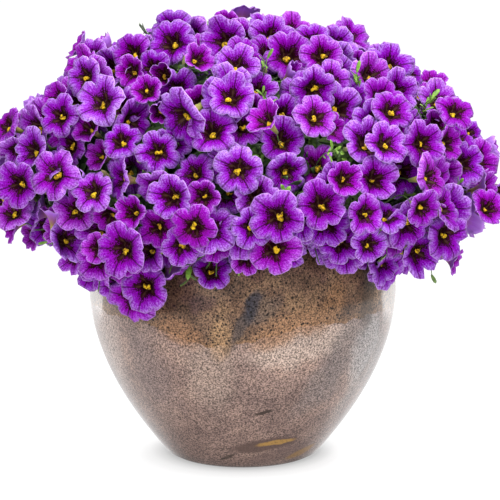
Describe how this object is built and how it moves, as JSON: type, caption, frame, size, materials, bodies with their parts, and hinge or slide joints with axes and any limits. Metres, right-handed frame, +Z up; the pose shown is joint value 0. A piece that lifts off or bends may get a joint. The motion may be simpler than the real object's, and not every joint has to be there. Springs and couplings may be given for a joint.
{
  "type": "potted calibrachoa",
  "caption": "Rounded glazed stoneware pot filled with a dense mound of purple calibrachoa flowers that spills over the rim; stands on a flat foot",
  "frame": {"origin": "centre of the pot's foot, on the plane that the pot stands on", "axes": "+Z up along the pot's axis; X and Y level, with -Y towards the viewer of the picture; the plant has no front"},
  "size_m": [0.364, 0.363, 0.3191],
  "materials": {
    "glazed_stoneware": "gloss reactive glaze, mauve brown with dark specks and ochre runs",
    "potting_soil": "dark fibrous potting mix",
    "woody_root": "thin bark and pale root fibres",
    "green_stem": "soft green, slightly hairy",
    "calibrachoa_leaf": "soft matte green, slightly sticky hairs",
    "calibrachoa_petal": "velvety violet with a dark throat and a yellow eye"
  },
  "bodies": {
    "root": {"pot": "glazed_stoneware", "potting_soil": "potting_soil", "crown_1": "woody_root", "crown_2": "woody_root", "crown_3": "woody_root", "stem_01": "green_stem", "stem_02": "green_stem", "stem_03": "green_stem", "stem_04": "green_stem", "stem_05": "green_stem", "stem_06": "green_stem", "stem_07": "green_stem", "stem_08": "green_stem", "stem_09": "green_stem", "stem_10": "green_stem", "stem_11": "green_stem", "stem_12": "green_stem", "stem_13": "green_stem", "stem_14": "green_stem", "stem_15": "green_stem", "stem_16": "green_stem", "stem_17": "green_stem", "stem_18": "green_stem", "leaves_01": "calibrachoa_leaf", "leaves_02": "calibrachoa_leaf", "leaves_03": "calibrachoa_leaf", "leaves_04": "calibrachoa_leaf", "leaves_05": "calibrachoa_leaf", "leaves_06": "calibrachoa_leaf", "leaves_07": "calibrachoa_leaf", "leaves_08": "calibrachoa_leaf", "leaves_09": "calibrachoa_leaf", "leaves_10": "calibrachoa_leaf", "leaves_11": "calibrachoa_leaf", "leaves_12": "calibrachoa_leaf", "leaves_13": "calibrachoa_leaf", "leaves_14": "calibrachoa_leaf", "leaves_15": "calibrachoa_leaf", "leaves_16": "calibrachoa_leaf", "leaves_17": "calibrachoa_leaf", "leaves_18": "calibrachoa_leaf", "flowers_01": "calibrachoa_petal", "flowers_02": "calibrachoa_petal", "flowers_03": "calibrachoa_petal", "flowers_04": "calibrachoa_petal", "flowers_05": "calibrachoa_petal", "flowers_06": "calibrachoa_petal", "flowers_07": "calibrachoa_petal", "flowers_08": "calibrachoa_petal", "flowers_09": "calibrachoa_petal", "flowers_10": "calibrachoa_petal", "flowers_11": "calibrachoa_petal", "flowers_12": "calibrachoa_petal", "flowers_13": "calibrachoa_petal", "flowers_14": "calibrachoa_petal", "flowers_15": "calibrachoa_petal", "flowers_16": "calibrachoa_petal", "flowers_17": "calibrachoa_petal", "flowers_18": "calibrachoa_petal"}
  },
  "joints": []
}
